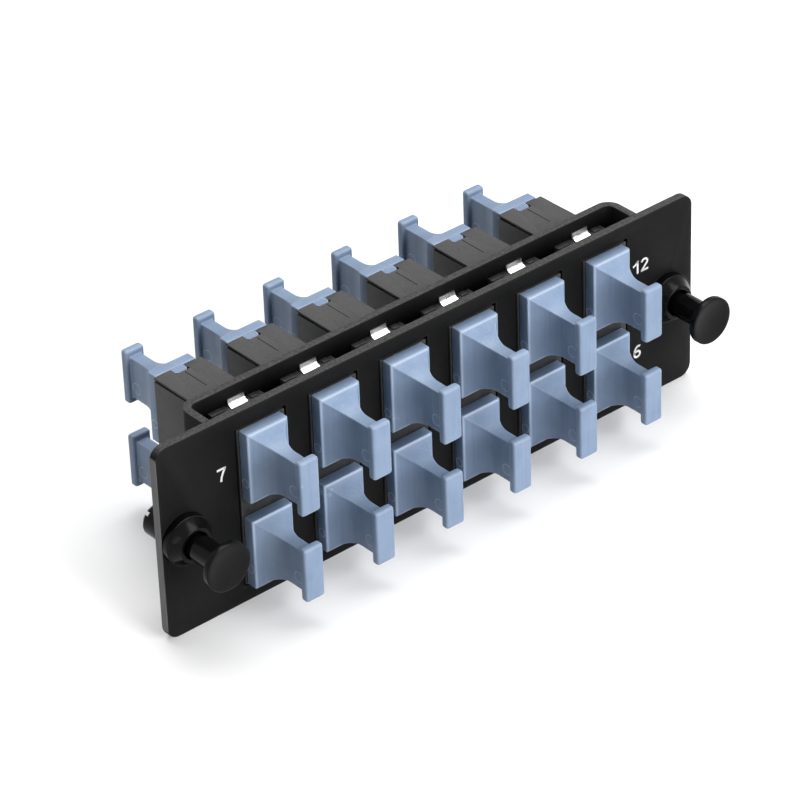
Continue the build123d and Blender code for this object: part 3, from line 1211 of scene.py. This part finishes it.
@dataclass
class Latch:
    """One push-pull latch: a collar with split legs, and its plunger."""

    side: Side
    finish: bpy.types.Material
    around: int = 96
    weld: float = 0.0005 * MM
    sliver: float = 0.0002 * MM
    collar_radius: float = 4.3 * MM
    collar_step: float = 0.25 * MM
    collar_top: float = 3.0 * MM
    collar_flange: float = 1.3 * MM
    collar_height: float = 3.0 * MM
    collar_lip: float = 0.25 * MM
    collar_bore: float = 2.25 * MM
    leg_edge: float = 0.08 * MM
    leg_start: float = 0.01 * MM
    sleeve_radii: tuple = (1.9 * MM, 2.6 * MM)
    sleeve_y: tuple = (1.5 * MM, 6.3 * MM)
    shaft_radius: float = 2.2 * MM
    shaft_end: float = 4.1 * MM
    shaft_cone: float = 0.45 * MM
    knob_radius: float = 4.1 * MM
    knob_reach: float = 10.7 * MM
    knob_rim: float = 1.1 * MM
    knob_edge: float = 0.15 * MM
    knob_dish: float = 0.4 * MM
    dish_steps: int = 9
    flare: float = 1.5 * MM
    flare_steps: int = 12
    pin_radius: float = 1.75 * MM
    pin_reach: float = 2.4 * MM
    pin_lead: float = 0.3 * MM

    def spin(self, work: bmesh.types.BMesh, profile: list[tuple]) -> None:
        """Turn a closed outline about the latch's axis.

        Args:
            work: Mesh that gets the turned solid.
            profile: The outline's points, as radius and place along Y.
        """
        rows = []
        for i in range(self.around):
            turn = 2 * math.pi * i / self.around
            points = [Vector((r * math.cos(turn), y, r * math.sin(turn))) for r, y in profile]
            rows.append([work.verts.new(point) for point in points])
        for lower, upper in zip(rows, rows[1:] + rows[:1]):
            bridge(work, lower, upper)
        bmesh.ops.remove_doubles(work, verts=work.verts, dist=self.weld)
        bmesh.ops.dissolve_degenerate(work, edges=work.edges, dist=self.sliver)

    def rounded(self, r: float, y: float, edge: float, side: int) -> list[tuple]:
        """Points of a rounded rim, from its face out to its side.

        Args:
            r: Full radius of the rim.
            y: Place of the face.
            edge: Radius of the rounding.
            side: 1 if the solid lies towards +Y of the face, or -1.

        Returns:
            The points, as radius and place along Y.
        """
        points = []
        for angle in quarter():
            place = y + side * edge * (1 - math.cos(angle))
            points.append((r - edge * (1 - math.sin(angle)), place))
        return points

    def plunger_profile(self) -> list[tuple]:
        """Outline of the pin, shaft and flared disc.

        Returns:
            The points, as radius and place along Y.
        """
        disc_back = self.knob_rim - self.knob_reach
        points = [(0.0, self.pin_reach), (self.pin_radius - self.pin_lead, self.pin_reach)]
        points += [(self.pin_radius, self.pin_reach - self.pin_lead)]
        points += [(self.pin_radius, self.shaft_cone - self.shaft_end)]
        points += [(self.shaft_radius - self.knob_edge, self.shaft_cone / 3 - self.shaft_end)]
        points += [(self.shaft_radius, -self.shaft_end)]
        widen = self.knob_radius - self.knob_edge - self.shaft_radius
        for angle in quarter(self.flare_steps):
            r = self.shaft_radius + widen * (1 - math.cos(angle))
            points.append((r, disc_back + self.flare * (1 - math.sin(angle))))
        points += self.rounded(self.knob_radius, disc_back, self.knob_edge, -1)
        points += reversed(self.rounded(self.knob_radius, -self.knob_reach, self.knob_edge, 1))
        dish_radius = self.knob_radius - 2 * self.knob_edge
        for step in range(1, self.dish_steps + 1):
            r = dish_radius * (1 - step / self.dish_steps)
            points.append((r, self.knob_dish * (1 - (r / dish_radius) ** 2) - self.knob_reach))
        return points

    def collar_profile(self) -> list[tuple]:
        """Outline of the collar: a flange with a cone on it and a rounded mouth.

        Returns:
            The points, as radius and place along Y.
        """
        top, lip = -self.collar_height, self.collar_lip
        mouth = self.rounded(self.collar_bore + lip, top, lip, 1)
        points = [(self.collar_bore, 0.0), (self.collar_bore, top + lip)]
        points += [(2 * self.collar_bore + lip - r, y) for r, y in reversed(mouth)]
        points += self.rounded(self.collar_top, top, lip, 1)
        points += [(self.collar_radius - self.collar_step, -self.collar_flange)]
        points += self.rounded(self.collar_radius, -self.collar_flange, self.knob_edge, 1)
        points += [(self.collar_radius, -self.knob_edge)]
        points += [(self.collar_radius - self.knob_edge, 0.0)]
        return points

    def grommet(self, place: Matrix, front: float) -> None:
        """Build the grommet: a new collar and sleeve, with the solid's legs.

        Args:
            place: Where the latch's axis meets the plate's front.
            front: The plate's front along Y.
        """
        node = f"{self.side.value}_latch_grommet"
        collar = bmesh.new()
        self.spin(collar, self.collar_profile())
        inner, outer = self.sleeve_radii
        near, far = self.sleeve_y
        self.spin(collar, [(inner, near), (inner, far), (outer, far), (outer, near)])
        bmesh.ops.transform(collar, matrix=place, verts=collar.verts)
        legs = rounded_copy(node, self.leg_edge)
        cut = bmesh.new()
        cut.from_mesh(legs)
        ahead = [vert for vert in cut.verts if vert.co.y < front - self.leg_start]
        bmesh.ops.delete(cut, geom=ahead, context="VERTS")
        cut.to_mesh(legs)
        cut.free()
        collar.from_mesh(legs)
        mesh = finished_mesh(node, collar)
        add_piece(f"{node}_nylon", mesh, self.finish, ROOT_BODY, "latch_nylon", node)

    def build(self) -> None:
        """Build the grommet and the plunger on their solids' places."""
        node = f"{self.side.value}_latch_plunger"
        low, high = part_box(node)
        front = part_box("faceplate")[0].y
        place = Matrix.Translation(((low.x + high.x) / 2, front, (low.z + high.z) / 2))
        self.grommet(place, front)
        work = bmesh.new()
        self.spin(work, self.plunger_profile())
        place.translation.y = low.y + self.knob_reach
        bmesh.ops.transform(work, matrix=place, verts=work.verts)
        mesh = finished_mesh(node, work)
        body = f"{self.side.value}_plunger"
        add_piece(f"{node}_nylon", mesh, self.finish, body, "latch_nylon", node)


@dataclass(frozen=True)
class Softbox:
    """A rectangular lamp: its place, the point that it faces, its size and its watts."""

    name: str
    place: tuple
    aim: tuple
    size: tuple
    power: float

    def hang(self) -> None:
        """Put the lamp in the scene."""
        data = bpy.data.lights.new(self.name, "AREA")
        data.shape = "RECTANGLE"
        data.size, data.size_y = self.size
        data.energy = self.power
        lamp = bpy.data.objects.new(self.name, data)
        lamp.location = self.place
        lamp.rotation_mode = "QUATERNION"
        ahead = Vector(self.aim) - Vector(self.place)
        lamp.rotation_quaternion = ahead.to_track_quat("-Z", "Y")
        bpy.context.scene.collection.objects.link(lamp)


@dataclass
class Studio:
    """Floor, lamps, world and camera."""

    azimuth: float = math.radians(39.466)
    elevation: float = math.radians(33.207)
    roll: float = math.radians(2.118)
    distance: float = 635.35 * MM
    target: tuple = (-7.72 * MM, -10.15 * MM, 22.70 * MM)
    focal_pixels: float = 4095.9
    image_pixels: int = 800
    sensor: float = 36.0
    clip_range: tuple = (0.01, 20.0)
    floor_reach: float = 3.0
    floor_drop: float = 0.1 * MM
    floor_grey: tuple = (0.74, 0.74, 0.74, 1.0)
    floor_glow: float = 0.18
    room_light: float = 0.10
    lamps: tuple = (
        Softbox("top_softbox", (0.2, 0.2, 1.0), (0, 0, 0), (1.0, 0.8), 14.0),
        Softbox("front_softbox", (0.2, -0.92, 0.4), (0, 0, 0.02), (0.7, 0.5), 13.0),
        Softbox("left_strip", (-0.8, -0.25, 0.3), (0, 0, 0.02), (0.05, 0.5), 0.5),
    )

    def camera(self) -> None:
        """Set the camera at the photograph's viewing angle."""
        data = bpy.data.cameras.new("camera")
        data.sensor_width = self.sensor
        data.lens = self.focal_pixels * self.sensor / self.image_pixels
        data.clip_start, data.clip_end = self.clip_range
        ahead = Vector((
            math.sin(self.azimuth) * math.cos(self.elevation),
            math.cos(self.azimuth) * math.cos(self.elevation),
            -math.sin(self.elevation),
        ))
        level = Vector((math.cos(self.azimuth), -math.sin(self.azimuth), 0.0))
        down = ahead.cross(level)
        right = level * math.cos(self.roll) + down * math.sin(self.roll)
        up = level * math.sin(self.roll) - down * math.cos(self.roll)
        turn = Matrix((right, up, -ahead)).transposed().to_4x4()
        camera = bpy.data.objects.new("camera", data)
        camera.matrix_world = Matrix.Translation(Vector(self.target) - ahead * self.distance) @ turn
        bpy.context.scene.collection.objects.link(camera)
        bpy.context.scene.camera = camera

    def seen_directly(self, tree: bpy.types.NodeTree) -> Socket:
        """Tell the rays that show the background from those that light the object.

        Args:
            tree: Node tree that asks.

        Returns:
            A socket that is 1 for camera, glossy and transmission rays and 0 for the rest.
        """
        path = tree.nodes.new("ShaderNodeLightPath")
        found = path.outputs["Is Camera Ray"]
        for kind in ("Is Glossy Ray", "Is Transmission Ray"):
            either = tree.nodes.new("ShaderNodeMath")
            either.operation = "MAXIMUM"
            tree.links.new(found, either.inputs[0])
            tree.links.new(path.outputs[kind], either.inputs[1])
            found = either.outputs[0]
        return found

    def floor(self) -> None:
        """Lay a pale floor that shows near white and keeps the panel's shadow."""
        mesh = bpy.data.meshes.new("floor")
        reach = self.floor_reach
        corners = [(-reach, -reach, 0), (reach, -reach, 0), (reach, reach, 0), (-reach, reach, 0)]
        mesh.from_pydata(corners, [], [(0, 1, 2, 3)])
        floor = bpy.data.objects.new("floor", mesh)
        floor.location.z = -self.floor_drop
        bpy.context.scene.collection.objects.link(floor)
        shader = Shader("floor_paint")
        shader.set(Base_Color=self.floor_grey, Roughness=0.6, Specular_IOR_Level=0.2)
        glow = shader.node("Emission", Color=WHITE)
        boost = shader.maths("MULTIPLY", self.seen_directly(shader.tree), self.floor_glow)
        shader.join(boost, glow.inputs["Strength"])
        both = shader.node("AddShader")
        shader.join(shader.surface.outputs["BSDF"], both.inputs[0])
        shader.join(glow.outputs["Emission"], both.inputs[1])
        shader.join(both.outputs[0], shader.output.inputs["Surface"])
        mesh.materials.append(shader.material)

    def world(self) -> None:
        """Fill the room with an even pale light that shows white in gloss."""
        world = bpy.data.worlds.new("room")
        world.use_nodes = True
        tree = world.node_tree
        back = tree.nodes["Background"]
        back.inputs["Color"].default_value = WHITE
        blend = tree.nodes.new("ShaderNodeMapRange")
        blend.inputs["To Min"].default_value = self.room_light
        tree.links.new(self.seen_directly(tree), blend.inputs["Value"])
        tree.links.new(blend.outputs["Result"], back.inputs["Strength"])
        bpy.context.scene.world = world

    def build(self) -> None:
        """Set up the camera, the light and the floor."""
        self.camera()
        self.floor()
        self.world()
        for lamp in self.lamps:
            lamp.hang()
        bpy.context.scene.view_settings.view_transform = "Standard"
        log.info("studio: camera, floor and %d lamps", len(self.lamps))


def main() -> None:
    """Build every sub-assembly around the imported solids."""
    logging.basicConfig(level=logging.INFO, format="%(name)s: %(message)s")
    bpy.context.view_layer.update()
    SheetMetal(PowderCoat().material()).build()
    PortNumbers(PrintInk().material()).build()
    inside = HousingPlastic("insert_plastic", (0.016, 0.016, 0.016), (0.024, 0.024, 0.024))
    housing, seam = HousingPlastic().material(), SeamShade().material()
    Adapters(housing, seam, inside.material(), SpringSteel().material()).build()
    DustCaps(CapPlastic().material()).build()
    nylon = LatchNylon().material()
    for side in Side:
        Latch(side, nylon).build()
    Studio().build()


if __name__ == "__main__":
    main()
